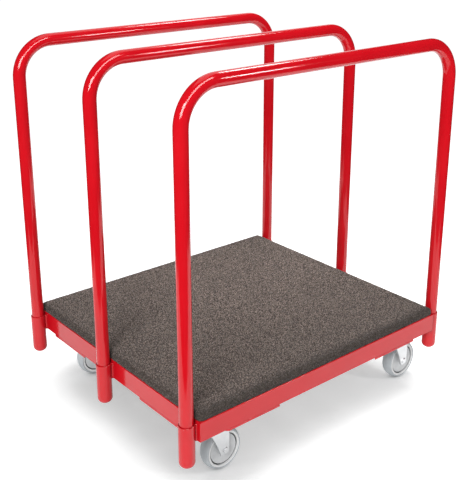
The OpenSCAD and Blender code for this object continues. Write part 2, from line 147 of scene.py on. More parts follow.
def start_material(name, **sockets):
    """A material with its Principled BSDF, whose even values are set on its own sockets."""
    material = bpy.data.materials.new(name)
    material.use_nodes = True
    surface = material.node_tree.nodes["Principled BSDF"]
    for label, value in sockets.items():
        surface.inputs[label.replace("_", " ").title().replace("Ior", "IOR")].default_value = value
    return material, material.node_tree, surface


print("helpers for nodes, groups and materials ready")


# %% Colour and mask helpers
def mix_colour(tree, mask, first, second):
    """The output of a colour mix: two plain colours or sockets, by a mask socket."""
    mix = add(tree, "ShaderNodeMix", data_type="RGBA")
    tree.links.new(mask, mix.inputs["Factor"])
    colours = [socket for socket in mix.inputs if socket.type == "RGBA"]
    for socket, value in zip(colours, (first, second)):
        if isinstance(value, bpy.types.NodeSocket):
            tree.links.new(value, socket)
        else:
            socket.default_value = (*value, 1)
    return next(socket for socket in mix.outputs if socket.type == "RGBA")


def remap(tree, value, low, high):
    """A mask from 0 to 1 turned into a value from low to high."""
    node = add(tree, "ShaderNodeMapRange")
    tree.links.new(value, node.inputs["Value"])
    node.inputs["To Min"].default_value = low
    node.inputs["To Max"].default_value = high
    return node.outputs["Result"]


print("helpers for colours and masks ready")

# %% [markdown]
# ## Floor, backdrop and light
#
# The cart stands on white paper in a studio. The paper could be lit until it burns out, but
# then the casters would burn out too. So the lamps stay at a plain level, and the floor and
# the world have a white of their own. Light Path gives all of it to the rays that come from
# the camera, all or most of it to reflections, and less to matt surfaces.


# %% World
WORLD_LIGHT = 0.08  # strength for matt surfaces, where 1 is white
WHITE = (1, 1, 1, 1)


def larger(tree, first, second):
    """The larger of two values."""
    node = add(tree, "ShaderNodeMath", operation="MAXIMUM")
    tree.links.new(first, node.inputs[0])
    tree.links.new(second, node.inputs[1])
    return node.outputs["Value"]


def seen_mask(tree, mirrored=1.0):
    """1 for camera and transmission rays, a share of it for glossy ones, 0 for matt ones."""
    path = add(tree, "ShaderNodeLightPath")
    seen = larger(tree, path.outputs["Is Camera Ray"], path.outputs["Is Transmission Ray"])
    return larger(tree, seen, remap(tree, path.outputs["Is Glossy Ray"], 0.0, mirrored))


world = bpy.data.worlds.new("studio")
bpy.context.scene.world = world
world.use_nodes = True
tree = world.node_tree
backdrop = tree.nodes["Background"]
backdrop.inputs["Color"].default_value = WHITE
tree.links.new(remap(tree, seen_mask(tree), WORLD_LIGHT, 1.0), backdrop.inputs["Strength"])
bpy.context.scene.view_settings.view_transform = "Standard"
print("world light", WORLD_LIGHT)

# %% [markdown]
# A floor that shines by itself would show no shadow. An Ambient Occlusion node measures how
# much open sky each point of the floor sees, and a ramp turns that share into the floor's
# white. So the floor darkens under the deck and round the wheels.


# %% Floor
FLOOR_REACH = 14.0  # metres
FLOOR_COLOUR = (0.80, 0.80, 0.80)
FLOOR_BOUNCE = 0.50  # share of the floor's white that matt surfaces see
FLOOR_MIRRORED = 0.80  # how far a reflection's share lies from there to the full white
SKY_REACH = 0.35  # metres, how near a thing must be to hide the sky
SKY_SAMPLES = 16
# Each stop is a share of open sky and the share of the floor's white that goes with it.
SKY_TO_WHITE = ((0.10, 0.05), (0.40, 0.48), (0.57, 0.52), (0.64, 0.67), (0.74, 0.92), (0.82, 1.0))
RING_STEPS = 64


def ramp(tree, value, stops):
    """A value turned into another one by a line through stops of (value, result)."""
    node = add(tree, "ShaderNodeValToRGB")
    tree.links.new(value, node.inputs["Fac"])
    elements = node.color_ramp.elements
    elements[0].position = stops[0][0]
    elements[1].position = stops[-1][0]
    for position, _ in stops[1:-1]:
        elements.new(position)
    for element, (_, result) in zip(elements, stops):
        element.color = (result, result, result, 1)
    return node.outputs["Color"]


def plain_mesh(name, points, faces):
    """An object in the scene, made of those points and faces."""
    mesh = bpy.data.meshes.new(name)
    mesh.from_pydata([tuple(point) for point in points], [], faces)
    mesh.update()
    piece = bpy.data.objects.new(name, mesh)
    bpy.context.scene.collection.objects.link(piece)
    return piece


def ring(radius, z):
    """The points of a level circle round the middle of the floor."""
    turns = [2 * math.pi * i / RING_STEPS for i in range(RING_STEPS)]
    return [Vector((radius * math.cos(turn), radius * math.sin(turn), z)) for turn in turns]


floor = plain_mesh("floor", ring(FLOOR_REACH, 0), [tuple(range(RING_STEPS))])
floor_paint, tree, surface = start_material("studio_floor", roughness=0.9, specular_ior_level=0.0)
surface.inputs["Base Color"].default_value = (*FLOOR_COLOUR, 1)
surface.inputs["Emission Color"].default_value = WHITE
seen_white = remap(tree, seen_mask(tree, FLOOR_MIRRORED), FLOOR_BOUNCE, 1.0)
sky = add(tree, "ShaderNodeAmbientOcclusion", samples=SKY_SAMPLES, distance=SKY_REACH)
glow = add(tree, "ShaderNodeMath", operation="MULTIPLY")
tree.links.new(seen_white, glow.inputs[0])
tree.links.new(ramp(tree, sky.outputs["AO"], SKY_TO_WHITE), glow.inputs[1])
tree.links.new(glow.outputs["Value"], surface.inputs["Emission Strength"])
floor.data.materials.append(floor_paint)
print("floor to", FLOOR_REACH, "m, dimmed by what stands within", SKY_REACH, "m")

# %% [markdown]
# The paper ends a little way from the cart. Beyond it stands a dark surround, a dome that only
# reflections see, so that the upper posts stay deep red and the lower ones pick up the pale
# floor. Its edge towards the camera and to either side fades in by Alpha.


# %% Helpers for the surround
def stacked(lines):
    """The points of closed outlines of as many points each, and the quads from one to the next."""
    steps = len(lines[0])
    points = [point for line in lines for point in line]
    faces = []
    for first in range(0, len(points) - steps, steps):
        second = first + steps
        for i in range(steps):
            after = (i + 1) % steps
            faces.append((first + i, first + after, second + after, second + i))
    return points, faces


def rising(tree, value, near, far):
    """0 up to a near value, rising smoothly to 1 at a far one."""
    mask = add(tree, "ShaderNodeMapRange", interpolation_type="SMOOTHSTEP")
    mask.inputs["From Min"].default_value = near
    mask.inputs["From Max"].default_value = far
    tree.links.new(value, mask.inputs["Value"])
    return mask.outputs["Result"]


def from_middle(tree, direction):
    """The distance of a point from the middle of the floor along a direction."""
    place = add(tree, "ShaderNodeTexCoord")
    distance = add(tree, "ShaderNodeVectorMath", operation="DOT_PRODUCT")
    tree.links.new(place.outputs["Object"], distance.inputs[0])
    distance.inputs[1].default_value = direction
    return distance.outputs["Value"]


print("helpers for the surround ready")

# %% Dark surround
PAPER_FRONT = (1.07, 1.17)  # metres from the middle to the camera's side: paper ends, dark is full
PAPER_HALF = (1.5, 1.7)  # the same to either side
SURROUND_START = PAPER_FRONT[0] * 0.9  # a little inside the paper's end
SURROUND_REACH = 6.0  # metres
SURROUND_HEIGHT = 0.002  # metres over the floor
SURROUND_STEP = 10  # degrees from ring to ring
SURROUND_GREY = 0.03

dome = [ring(SURROUND_START, SURROUND_HEIGHT)]
for lift in range(0, 90, SURROUND_STEP):
    angle = math.radians(lift)
    height = SURROUND_HEIGHT + SURROUND_REACH * math.sin(angle)
    dome.append(ring(SURROUND_REACH * math.cos(angle), height))
surround = plain_mesh("dark_surround", *stacked(dome))
surround_paint, tree, surface = start_material("dark_surround", roughness=1.0, specular_ior_level=0.0)
surface.inputs["Base Color"].default_value = (0, 0, 0, 1)
surface.inputs["Emission Color"].default_value = WHITE
surface.inputs["Emission Strength"].default_value = SURROUND_GREY
to_camera = (-looking.x, -looking.y, 0)
to_side = (math.cos(HEADING), math.sin(HEADING), 0)
sideways = add(tree, "ShaderNodeMath", operation="ABSOLUTE")
tree.links.new(from_middle(tree, to_side), sideways.inputs[0])
past_front = rising(tree, from_middle(tree, to_camera), *PAPER_FRONT)
past_side = rising(tree, sideways.outputs["Value"], *PAPER_HALF)
tree.links.new(larger(tree, past_front, past_side), surface.inputs["Alpha"])
surround.data.materials.append(surround_paint)
surround.visible_camera = False
surround.visible_diffuse = False
surround.visible_shadow = False
surround.visible_transmission = False
print("white paper to", PAPER_FRONT[0], "m towards the camera, dark surround beyond")

# %% [markdown]
# A wide box over the cart gives an even light. A key box at the front left shapes the tubes,
# and a weaker one opposite keeps the back alive. Light linking keeps these two off the floor,
# where they would throw long shadows of the rails. Three more boxes are there for the gloss:
# two draw the lines of light along the rails, and a long one, which only reflections see, the
# shine round their bends.


# %% Soft boxes
CART_MIDDLE = (0, 0, 0.5)
FRONT_RAILS = (-0.3, -0.4, 1.1)


def soft_box(name, place, target, size, watts, roll=0.0):
    """A lamp of that size in metres, aimed at a target and rolled by an angle in degrees."""
    lamp = bpy.data.lights.new(name, "AREA")
    lamp.shape = "RECTANGLE"
    lamp.size, lamp.size_y = size
    lamp.energy = watts
    box = bpy.data.objects.new(name, lamp)
    box.location = place
    aim = (Vector(target) - Vector(place)).to_track_quat("-Z", "Y")
    box.rotation_euler = (aim @ Quaternion((0, 0, 1), math.radians(roll))).to_euler()
    bpy.context.scene.collection.objects.link(box)
    return box


ceiling = soft_box("ceiling_box", (0.8, 0.3, 3.4), (0.2, 0, 0), size=(3.6, 3.6), watts=44)
ceiling.visible_glossy = False
key = soft_box("key_box", (-4.05, -2.63, 2.9), CART_MIDDLE, size=(2.1, 2.1), watts=208)
back = soft_box("back_box", (2.7, 2.1, 2.1), CART_MIDDLE, size=(1.6, 1.6), watts=55)
back.visible_glossy = False
unlit = bpy.data.collections.new("not_lit_by_boxes")
unlit.objects.link(floor)
for box in (key, back):
    box.light_linking.receiver_collection = unlit
unlit.collection_objects[0].light_linking.link_state = "EXCLUDE"
soft_box("upper_strip", (1.65, 0.3, 3.3), FRONT_RAILS, size=(0.8, 0.5), watts=20)
soft_box("front_strip", (1.65, -2.6, 1.7), FRONT_RAILS, size=(0.4, 0.5), watts=16)
bends = soft_box("bend_strip", (-0.7, -2.0, 2.9), (-0.3, -0.2, 1.1), size=(3.4, 0.8), watts=80, roll=24)
bends.visible_diffuse = False
print("ceiling, key and back boxes, and three strips for the rails' shine")

# %% [markdown]
# ## Effects that several finishes share
#
# Sheet steel never has knife edges: paint and plating round them off and the edge catches
# light. The solids could be bevelled one by one, but a Bevel node rounds the shading of all
# of them at once, and the difference between the rounded and the true normal is a mask of
# the edges. A second group gives cloudy changes of tone, slow or fine by its scale. It reads
# Object coordinates, so nothing slides when a piece moves.


# %% Shared shader groups
BEVEL_SAMPLES = 4
EDGE_LIKENESS = (0.99, 0.80)  # of the two normals, where an edge starts and where it is full
CLOUD_SPREAD = (0.32, 0.68)  # the noise values that become 0 and 1


def spread(tree, value, ends):
    """A mask that is 0 at the first of two values and 1 at the second."""
    node = add(tree, "ShaderNodeMapRange")
    tree.links.new(value, node.inputs["Value"])
    node.inputs["From Min"].default_value = ends[0]
    node.inputs["From Max"].default_value = ends[1]
    return node.outputs["Result"]


def rounded_edges_group():
    """Puts out a normal that is rounded at the edges, and a mask of the edges."""
    outputs = {"Normal": "Vector", "Edge": "Float"}
    tree, given, made = start_group("rounded_edges", {"Radius": 0.001}, outputs)
    bevel = add(tree, "ShaderNodeBevel", samples=BEVEL_SAMPLES)
    tree.links.new(given.outputs["Radius"], bevel.inputs["Radius"])
    geometry = add(tree, "ShaderNodeNewGeometry")
    likeness = add(tree, "ShaderNodeVectorMath", operation="DOT_PRODUCT")
    tree.links.new(bevel.outputs["Normal"], likeness.inputs[0])
    tree.links.new(geometry.outputs["Normal"], likeness.inputs[1])
    tree.links.new(bevel.outputs["Normal"], made.inputs["Normal"])
    tree.links.new(spread(tree, likeness.outputs["Value"], EDGE_LIKENESS), made.inputs["Edge"])
    return tree


def cloud_group():
    """Puts out a mask of soft clouds."""
    tree, given, made = start_group("cloud", {"Scale": 10.0, "Detail": 3.0}, {"Mask": "Float"})
    place = add(tree, "ShaderNodeTexCoord")
    noise = add(tree, "ShaderNodeTexNoise")
    tree.links.new(place.outputs["Object"], noise.inputs["Vector"])
    tree.links.new(given.outputs["Scale"], noise.inputs["Scale"])
    tree.links.new(given.outputs["Detail"], noise.inputs["Detail"])
    tree.links.new(spread(tree, noise.outputs["Fac"], CLOUD_SPREAD), made.inputs["Mask"])
    return tree


ROUNDED_EDGES = rounded_edges_group()
CLOUD = cloud_group()
print("groups:", [group.name for group in (ROUNDED_EDGES, CLOUD)])


# %% The groups placed in a material
def cloud(tree, scale, detail):
    """The mask of clouds of that scale, in a material."""
    return use_group(tree, CLOUD, scale=scale, detail=detail).outputs["Mask"]


def relief(tree, surface, radius, height, distance, strength):
    """Rounds the edges and adds a bump of that height to a surface; returns the edge mask."""
    edges = use_group(tree, ROUNDED_EDGES, radius=radius)
    bump = add(tree, "ShaderNodeBump", strength=strength, distance=distance)
    tree.links.new(height, bump.inputs["Height"])
    tree.links.new(edges.outputs["Normal"], bump.inputs["Normal"])
    tree.links.new(bump.outputs["Normal"], surface.inputs["Normal"])
    return edges.outputs["Edge"]


print("clouds and relief ready")

# %% [markdown]
# ## Red powder coat
#
# The steel is powder coated: a thick, glossy film of plastic that melts and flows out in an
# oven. It is a little uneven, like orange peel, thinner and paler on sharp edges, and its
# top skin shines. A Principled surface with a thin clear coat gives that double shine.
#
# So much red would dye the white floor pink, where the photograph's floor is neutral. Light
# Path tells the paint when a ray comes from a matt surface, and it is nearly grey to those.


# %% Red powder coat
BOUNCE_GREY = 0.97  # share of grey in what matt surfaces see
RED_BOUNCE = 0.20  # the grey that stands for the red
RED_FILM = ((0.67, 0.005, 0.012), (0.72, 0.006, 0.014))
RED_THIN = (0.80, 0.06, 0.07)
RED_THIN_SHARE = 0.35  # how much of it shows at an edge
RED_ROUGHNESS = (0.07, 0.12)


def quiet(tree, colour, grey):
    """The colour, but nearly a plain grey to rays that come from a matt surface."""
    path = add(tree, "ShaderNodeLightPath")
    bounce = remap(tree, path.outputs["Is Diffuse Ray"], 0.0, BOUNCE_GREY)
    return mix_colour(tree, bounce, colour, (grey, grey, grey))


def red_powder_coat():
    material, tree, surface = start_material(
        "red_powder_coat", coat_weight=0.12, coat_roughness=0.05, specular_ior_level=0.45
    )
    flow = cloud(tree, scale=9.0, detail=2.0)
    peel = cloud(tree, scale=420.0, detail=1.0)
    edge = relief(tree, surface, radius=0.0012, height=peel, distance=0.0002, strength=0.06)
    film = mix_colour(tree, flow, *RED_FILM)
    paint = mix_colour(tree, remap(tree, edge, 0.0, RED_THIN_SHARE), film, RED_THIN)
    tree.links.new(quiet(tree, paint, RED_BOUNCE), surface.inputs["Base Color"])
    tree.links.new(remap(tree, flow, *RED_ROUGHNESS), surface.inputs["Roughness"])
    return material


RED = red_powder_coat()
print("made", RED.name)

# %% [markdown]
# ## Zinc plate, steel and bronze
#
# The casters' pressings are zinc plated: a pale, slightly cloudy metal. The axle, the
# kingpin and the balls are plain steel, and the bushing is bronze. All are one recipe with
# other values: a metallic surface whose roughness and tone drift a little, rubbed brighter at
# its edges.


# %% Metals
RUBBED_SHARE = 0.5


def metal(name, pale, dull, roughness, grain_scale):
    material, tree, surface = start_material(name, metallic=1.0)
    drift = cloud(tree, scale=38.0, detail=4.0)
    grain = cloud(tree, scale=grain_scale, detail=2.0)
    edge = relief(tree, surface, radius=0.0009, height=grain, distance=0.0002, strength=0.08)
    plate = mix_colour(tree, drift, dull, pale)
    rubbed = mix_colour(tree, remap(tree, edge, 0.0, RUBBED_SHARE), plate, pale)
    tree.links.new(rubbed, surface.inputs["Base Color"])
    tree.links.new(remap(tree, drift, *roughness), surface.inputs["Roughness"])
    return material


ZINC = metal(
    "zinc_plate", pale=(0.72, 0.73, 0.74), dull=(0.64, 0.65, 0.66),
    roughness=(0.28, 0.40), grain_scale=900.0,
)
STEEL = metal(
    "turned_steel", pale=(0.78, 0.79, 0.80), dull=(0.66, 0.67, 0.68),
    roughness=(0.30, 0.42), grain_scale=1200.0,
)
BRONZE = metal(
    "bushing_bronze", pale=(0.62, 0.44, 0.22), dull=(0.50, 0.34, 0.16),
    roughness=(0.34, 0.48), grain_scale=1200.0,
)
print("made", [finish.name for finish in (ZINC, STEEL, BRONZE)])

# %% [markdown]
# ## Rubber and wheel plastic
#
# The tread is a grey non-marking rubber, matt and faintly mottled. The core is a paler
# moulded plastic with a little shine. Both are mouldings: one recipe, paler at the edges.


# %% Rubber and plastic
MOULDED_EDGE_SHARE = 0.3


def moulding(name, light, dark, roughness, grain_scale, strength):
    material, tree, surface = start_material(name)
    drift = cloud(tree, scale=30.0, detail=5.0)
    grain = cloud(tree, scale=grain_scale, detail=3.0)
    edge = relief(tree, surface, radius=0.0008, height=grain, distance=0.0003, strength=strength)
    body = mix_colour(tree, drift, dark, light)
    paler = mix_colour(tree, remap(tree, edge, 0.0, MOULDED_EDGE_SHARE), body, light)
    tree.links.new(paler, surface.inputs["Base Color"])
    tree.links.new(remap(tree, drift, *roughness), surface.inputs["Roughness"])
    return material


RUBBER = moulding(
    "tread_rubber", light=(0.60, 0.635, 0.66), dark=(0.50, 0.53, 0.555),
    roughness=(0.42, 0.55), grain_scale=700.0, strength=0.15,
)
PLASTIC = moulding(
    "core_plastic", light=(0.76, 0.77, 0.78), dark=(0.66, 0.67, 0.68),
    roughness=(0.30, 0.40), grain_scale=500.0, strength=0.05,
)
print("made", [finish.name for finish in (RUBBER, PLASTIC)])

# %% [markdown]
# The side of a wheel core is a dish inside a raised ring. The groove round the dish is painted
# dark as shade, and the ring is painted pale as the light on its raised face. The core could be
# cut into three materials, but its depth from the wheel's middle plane tells the three apart.
# All wheels stand at the same distance from the cart's middle plane, so one sum serves the four
# of them.


# %% Ring and groove of the wheel core
RING_INSET = 0.001  # metres from the tread's side in to the ring's face
DISH_INSET = 0.003  # and from there in to the dish's face
GROOVE_DEPTH = 0.004  # below the dish's face, where the painted shade is full
PAINT_MARGIN = 0.0005
# The groove's dark is painted shade in the recess, and the ring's pale is painted light on its raised
# face.
GROOVE_SHADE = (0.10, 0.10, 0.105)
RING_LIT = (0.92, 0.92, 0.92)


def ring_and_groove(material, wheel_y, dish, ring_face):
    """Paints a wheel core by its depth from the wheel's middle plane: groove dark as painted shade, dish,
    ring pale as painted light.
    """
    tree = material.node_tree
    surface = tree.nodes["Principled BSDF"]
    moulded = surface.inputs["Base Color"].links[0].from_socket
    place = add(tree, "ShaderNodeTexCoord")
    parts = add(tree, "ShaderNodeSeparateXYZ")
    tree.links.new(place.outputs["Object"], parts.inputs["Vector"])
    depth = parts.outputs["Y"]
    for operation, amount in (("ABSOLUTE", 0), ("SUBTRACT", wheel_y), ("ABSOLUTE", 0)):
        step = add(tree, "ShaderNodeMath", operation=operation)
        tree.links.new(depth, step.inputs[0])
        step.inputs[1].default_value = amount
        depth = step.outputs["Value"]
    out_of_groove = spread(tree, depth, (dish - GROOVE_DEPTH, dish - PAINT_MARGIN))
    on_ring = spread(tree, depth, (dish + PAINT_MARGIN, ring_face - PAINT_MARGIN))
    # Painted shade in the groove, then painted light on the ring.
    groove_shaded = mix_colour(tree, out_of_groove, GROOVE_SHADE, moulded)
    tree.links.new(mix_colour(tree, on_ring, groove_shaded, RING_LIT), surface.inputs["Base Color"])


tread_low, tread_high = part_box("tread_back_right")
WHEEL_Y = (tread_low[1] + tread_high[1]) / 2
RING_FACE = (tread_high[1] - tread_low[1]) / 2 - RING_INSET
DISH_FACE = RING_FACE - DISH_INSET
ring_and_groove(PLASTIC, WHEEL_Y, DISH_FACE, RING_FACE)
print("wheel middles at y =", round(WHEEL_Y, 4), "m")
print("ring face at", round(RING_FACE, 4), "m and dish at", round(DISH_FACE, 4), "m from there")

# %% [markdown]
# ## Plywood
#
# The deck board shows only from below, between the channels. Its face veneer has long grain
# along the cart: the same noise as before, stretched along X by a Mapping node. Like the red
# paint it is nearly grey to matt rays, or it would warm the floor under the deck.


# %% Plywood
GRAIN_STRETCH = (1.6, 26.0, 26.0)
VENEER = ((0.36, 0.22, 0.11), (0.62, 0.45, 0.27))
KNOT = (0.50, 0.34, 0.19)
KNOT_SHARE = 0.35
PLYWOOD_BOUNCE = 0.34  # the grey that stands for the wood


def plywood():
    material, tree, surface = start_material("plywood", roughness=0.62)
    place = add(tree, "ShaderNodeTexCoord")
    stretch = add(tree, "ShaderNodeMapping")
    stretch.inputs["Scale"].default_value = GRAIN_STRETCH
    tree.links.new(place.outputs["Object"], stretch.inputs["Vector"])
    grain = add(tree, "ShaderNodeTexNoise", scale=4.0, detail=6.0, distortion=0.6)
    tree.links.new(stretch.outputs["Vector"], grain.inputs["Vector"])
    knots = cloud(tree, scale=5.0, detail=2.0)
    veneer = mix_colour(tree, grain.outputs["Fac"], *VENEER)
    board = mix_colour(tree, remap(tree, knots, 0.0, KNOT_SHARE), veneer, KNOT)
    tree.links.new(quiet(tree, board, PLYWOOD_BOUNCE), surface.inputs["Base Color"])
    relief(tree, surface, radius=0.0008, height=grain.outputs["Fac"], distance=0.0004, strength=0.25)
    return material


PLYWOOD = plywood()
print("made", PLYWOOD.name)

# %% [markdown]
# ## Finishes on the solids
#
# Each solid comes with a plain material named after its slot in the record. Those are swapped
# for the finishes. The carpet's solid keeps its plain one, because it will be replaced.

# %% Give the solids their finishes
FINISHES = {
    "red_paint": RED,
    "zinc_steel": ZINC,
    "dark_steel": STEEL,
    "tread_rubber": RUBBER,
    "core_plastic": PLASTIC,
    "bushing_bronze": BRONZE,
    "plywood": PLYWOOD,
}
finished = 0
for solid in NODES.values():
    for holder in solid.material_slots:
        if holder.material.name in FINISHES:
            holder.material = FINISHES[holder.material.name]
            finished += 1
print("finishes on", finished, "of", len(NODES), "solids")

# %% [markdown]
# ## Shapes that grow from nodes
#
# The tufts of the carpet repeat thousands of times, and the ripples of the welds hundreds. They
# could be modelled once and copied in a loop, but Geometry Nodes scatter them or string them
# along a path from a few named sizes, and the same tree serves every place. The result is
# baked to a plain mesh, because instances don't travel with the exported part.


# %% Geometry node helpers
def start_tree(name, inputs):
    """An empty geometry tree with named inputs: label -> (socket kind, value)."""
    tree = bpy.data.node_groups.new(name, "GeometryNodeTree")
    tree.interface.new_socket("Geometry", in_out="INPUT", socket_type="NodeSocketGeometry")
    for label, (kind, value) in inputs.items():
        socket = tree.interface.new_socket(label, in_out="INPUT", socket_type="NodeSocket" + kind)
        if value is not None:
            socket.default_value = value
    tree.interface.new_socket("Geometry", in_out="OUTPUT", socket_type="NodeSocketGeometry")
    return tree, tree.nodes.new("NodeGroupInput"), tree.nodes.new("NodeGroupOutput")


def random_value(tree, kind, low, high, seed):
    """Random values of that kind between low and high, from a fixed seed."""
    node = add(tree, "FunctionNodeRandomValue", data_type=kind)
    ends = [socket for socket in node.inputs if socket.enabled and socket.name in ("Min", "Max")]
    for socket, value in zip(ends, (low, high)):
        socket.default_value = value
    node.inputs["Seed"].default_value = seed
    return next(socket for socket in node.outputs if socket.enabled)


def keep_number(tree, geometry, domain, name, value):
    """Stores a number with the geometry, where a material can read it by name."""
    node = add(tree, "GeometryNodeStoreNamedAttribute", data_type="FLOAT", domain=domain)
    node.inputs["Name"].default_value = name
    tree.links.new(geometry, node.inputs["Geometry"])
    tree.links.new(value, node.inputs["Value"])
    return node.outputs["Geometry"]


def finish_tree(tree, given, made, instances):
    """Realizes the instances and gives them the tree's material."""
    real = add(tree, "GeometryNodeRealizeInstances")
    paint = add(tree, "GeometryNodeSetMaterial")
    tree.links.new(instances, real.inputs["Geometry"])
    tree.links.new(real.outputs["Geometry"], paint.inputs["Geometry"])
    tree.links.new(given.outputs["Material"], paint.inputs["Material"])
    tree.links.new(paint.outputs["Geometry"], made.inputs["Geometry"])


print("helpers for geometry trees ready")


# %% Growing and baking
def baked(name, host, modifier):
    """The host with its modifier worked in, as a plain mesh object of that name; the host goes."""
    mesh = bpy.data.meshes.new_from_object(host.evaluated_get(bpy.context.evaluated_depsgraph_get()))
    mesh.name = name
    host.modifiers.remove(modifier)
    bpy.data.objects.remove(host)
    piece = bpy.data.objects.new(name, mesh)
    bpy.context.scene.collection.objects.link(piece)
    print(name, "has", sum(len(face.vertices) - 2 for face in mesh.polygons), "triangles")
    return piece


def grow(name, host, tree, **values):
    """Runs the tree on a host mesh with those inputs and bakes the result."""
    modifier = host.modifiers.new(name, "NODES")
    modifier.node_group = tree
    for socket in tree.interface.items_tree:
        key = socket.name.lower().replace(" ", "_")
        if socket.in_out == "INPUT" and key in values:
            modifier[socket.identifier] = values[key]
    return baked(name, host, modifier)


print("growing and baking ready")

# %% [markdown]
# ## The carpet
#
# A piece of carpet is stretched over the deck board, folded down over its four edges and
# trapped on the frame's ledge. As a solid it would look like a slab of rubber, so it is made
# as it is woven: a thin backing sheet that follows the board, and a pile of tufts on it. Both
# start from one skin: rounded outlines stacked from the ledge up over the fold.

# %% Carpet sizes, from the solids
PILE_HEIGHT = 0.0024  # metres, as all sizes here
PILE_SPREAD = 0.0018  # how far the pile's tips pass the sides of the carpet's solid
CARPET_CORNER = 0.016  # radius at the tips, seen from above
CARPET_FOLD = 0.013  # radius at the tips, over the deck's edge
LEDGE_GAP = 0.0003  # room under the carpet's hem, and under the backing

carpet_low, carpet_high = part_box("deck_carpet")
board_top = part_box("deck_board")[1][2]
CARPET_THICK = carpet_high[2] - board_top
BACKING_THICK = CARPET_THICK - PILE_HEIGHT - LEDGE_GAP
SKIN_HALF = [carpet_high[i] + PILE_SPREAD - PILE_HEIGHT for i in (0, 1)]
SKIN_TOP = carpet_high[2] - PILE_HEIGHT
SKIN_FOLD = CARPET_FOLD - PILE_HEIGHT
SKIN_CORNER = CARPET_CORNER - PILE_HEIGHT
print("carpet", round(CARPET_THICK * 1000, 1), "mm thick, backing", round(BACKING_THICK * 1000, 1), "mm")


# %% The carpet's skin
CORNER_STEPS = 6
FOLD_STEPS = 8


def rounded_outline(inset, z):
    """The skin's outline at a height, set in by some distance, with its corners round."""
    radius = SKIN_CORNER - inset
    across, along = (half - inset - radius for half in SKIN_HALF)
    points = []
    for x_sign, y_sign, start in ((1, 1, 0), (-1, 1, 90), (-1, -1, 180), (1, -1, 270)):
        for i in range(CORNER_STEPS + 1):
            turn = math.radians(start + 90 * i / CORNER_STEPS)
            x = x_sign * across + radius * math.cos(turn)
            y = y_sign * along + radius * math.sin(turn)
            points.append(Vector((x, y, z)))
    return points


def carpet_skin(name):
    """The carpet's outer skin at the foot of the pile: up the sides, over the fold, across the top."""
    lines = [rounded_outline(0, carpet_low[2] + LEDGE_GAP)]
    for i in range(FOLD_STEPS + 1):
        turn = math.radians(90 * i / FOLD_STEPS)
        inset = SKIN_FOLD * (1 - math.cos(turn))
        lines.append(rounded_outline(inset, SKIN_TOP - SKIN_FOLD * (1 - math.sin(turn))))
    points, faces = stacked(lines)
    top_line = range(len(points) - len(lines[-1]), len(points))
    return plain_mesh(name, points, faces + [tuple(top_line)])


print("skin", [round(2 * half, 4) for half in SKIN_HALF], "m, top at", round(SKIN_TOP, 4), "m")

# %% [markdown]
# The yarn is spun from several browns and greys, so every tuft has a tone of its own, and its
# root is darker than its tip because little light gets down there. Both are numbers kept with
# the mesh, which the material reads by name. Slow clouds over the deck stand for traffic. The
# yarn is also painted darker towards the edges, most of all the front and the left one: painted
# shade for the rolled fold and for the fall of light across the deck.


# %% Painted shade along the carpet's edges
# Each stop is a distance inwards in metres and the share of the yarn's brightness that the painted shade
# leaves.
SHADE_FROM_FRONT = (
    (0.0, 0.27), (0.009, 0.29), (0.018, 0.40), (0.027, 0.54), (0.040, 0.68), (0.106, 0.71),
    (0.176, 0.77), (0.246, 0.84), (0.316, 0.92), (0.386, 1.0), (0.820, 0.95), (0.850, 0.60),
)
SHADE_FROM_LEFT = (
    (0.0, 0.34), (0.013, 0.60), (0.035, 0.66), (0.175, 0.72), (0.295, 0.82), (0.415, 0.95),
    (0.575, 1.0), (0.935, 1.0), (0.948, 0.60),
)


def painted_shade_share(tree):
    """The share of the yarn's brightness that the painted shade leaves: the lesser of the two lines of
    stops.
    """
    place = add(tree, "ShaderNodeTexCoord")
    parts = add(tree, "ShaderNodeSeparateXYZ")
    tree.links.new(place.outputs["Object"], parts.inputs["Vector"])
    lesser = add(tree, "ShaderNodeMath", operation="MINIMUM")
    for i, (label, stops) in enumerate((("X", SHADE_FROM_LEFT), ("Y", SHADE_FROM_FRONT))):
        inwards = add(tree, "ShaderNodeMath", operation="SUBTRACT")
        tree.links.new(parts.outputs[label], inwards.inputs[0])
        inwards.inputs[1].default_value = carpet_low[i]
        tree.links.new(ramp(tree, inwards.outputs["Value"], stops), lesser.inputs[i])
    return lesser.outputs["Value"]


# Shows how dark the painted shade gets at the front and the left edge.
print("painted shade down to", SHADE_FROM_FRONT[0][1], "at the front,", SHADE_FROM_LEFT[0][1], "at the left")


# %% Carpet finishes
YARN_TONES = ((0.080, 0.060, 0.051), (0.855, 0.648, 0.560))
YARN_FLECK = (0.098, 0.075, 0.062)
YARN_WORN = (0.305, 0.236, 0.202)
YARN_ROOT = (0.027, 0.022, 0.019)
FLECK_SHARE = 0.62
WORN_SHARE = 0.20
ROOT_TO_TIP = (0.42, 1.0)  # share of the yarn's own colour at a tuft's foot and at its tip
WEAVE = ((0.050, 0.040, 0.034), (0.095, 0.080, 0.070))


